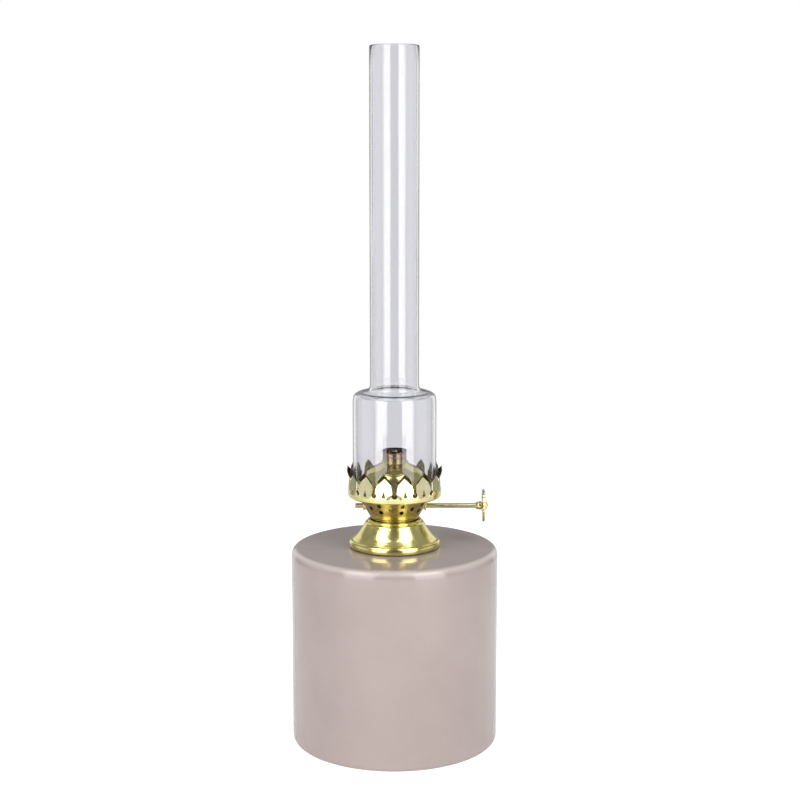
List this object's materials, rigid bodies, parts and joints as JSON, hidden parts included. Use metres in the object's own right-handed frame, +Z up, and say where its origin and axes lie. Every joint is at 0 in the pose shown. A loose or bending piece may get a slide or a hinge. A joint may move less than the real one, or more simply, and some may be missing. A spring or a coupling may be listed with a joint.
{
  "type": "oil lamp",
  "caption": "Table oil lamp: cylindrical glazed ceramic font, screw-in brass burner with tubular wick, leaf-pronged gallery, side knob and slender shouldered glass chimney.",
  "frame": {"origin": "centre of the font's foot, on the surface the lamp stands on", "axes": "+Z up along the lamp's axis, +X towards the wick knob, -Y the front"},
  "size_m": [0.084, 0.084, 0.2806],
  "materials": {
    "glaze": "smooth glossy pink-beige glaze",
    "plaster": "matt cement",
    "bright_brass": "polished pale brass",
    "inner_brass": "plain spun brass, slightly darkened",
    "steel": "drawn wire",
    "rubber": "matt",
    "cotton": "woven flat wick, charred at its edge",
    "clear_glass": "clear borosilicate, fire-polished ends"
  },
  "bodies": {
    "font": {"ceramic_font": "glaze", "collar_cement": "plaster", "font_collar": "inner_brass"},
    "washer": {"sealing_washer": "rubber"},
    "burner": {"burner_thread_ring": "inner_brass", "burner_floor": "inner_brass", "burner_skirt": "bright_brass", "air_bowl": "bright_brass", "crown_gallery": "bright_brass", "air_dome": "bright_brass", "wick_tube": "inner_brass", "draught_tube": "inner_brass", "raiser_cover": "inner_brass", "shaft_bushing_right": "bright_brass", "shaft_bushing_left": "bright_brass"},
    "raiser": {"raiser_shaft": "steel", "raiser_wheel_right": "steel", "raiser_wheel_left": "steel", "shaft_stop_ring": "steel", "knob_hub": "bright_brass", "knob_disc": "bright_brass", "knob_rivet": "bright_brass"},
    "wick": {"wick": "cotton"},
    "chimney": {"chimney": "clear_glass"}
  },
  "joints": [
    {"name": "burner_lift", "type": "slide", "parent": "font", "child": "washer", "axis": [0, 0, 1], "range_m": [0, 0.075]},
    {"name": "burner_unscrew", "type": "hinge", "parent": "washer", "child": "burner", "pos_m": [0, 0, 0.0829], "axis": [0, 0, 1], "range_deg": [0, 1548]},
    {"name": "knob_turn", "type": "hinge", "parent": "burner", "child": "raiser", "pos_m": [0, 0.00659, 0.0958], "axis": [-1, 0, 0], "range_deg": [-328, 219]},
    {"name": "wick_raise", "type": "slide", "parent": "burner", "child": "wick", "axis": [0, 0, 1], "range_m": [-0.012, 0.008]},
    {"name": "chimney_lift", "type": "slide", "parent": "burner", "child": "chimney", "axis": [0, 0, 1], "range_m": [0, 0.03]}
  ],
  "couplings": [
    {"joint": "knob_turn", "follows": "wick_raise", "rad_per_m": 476.19}
  ]
}
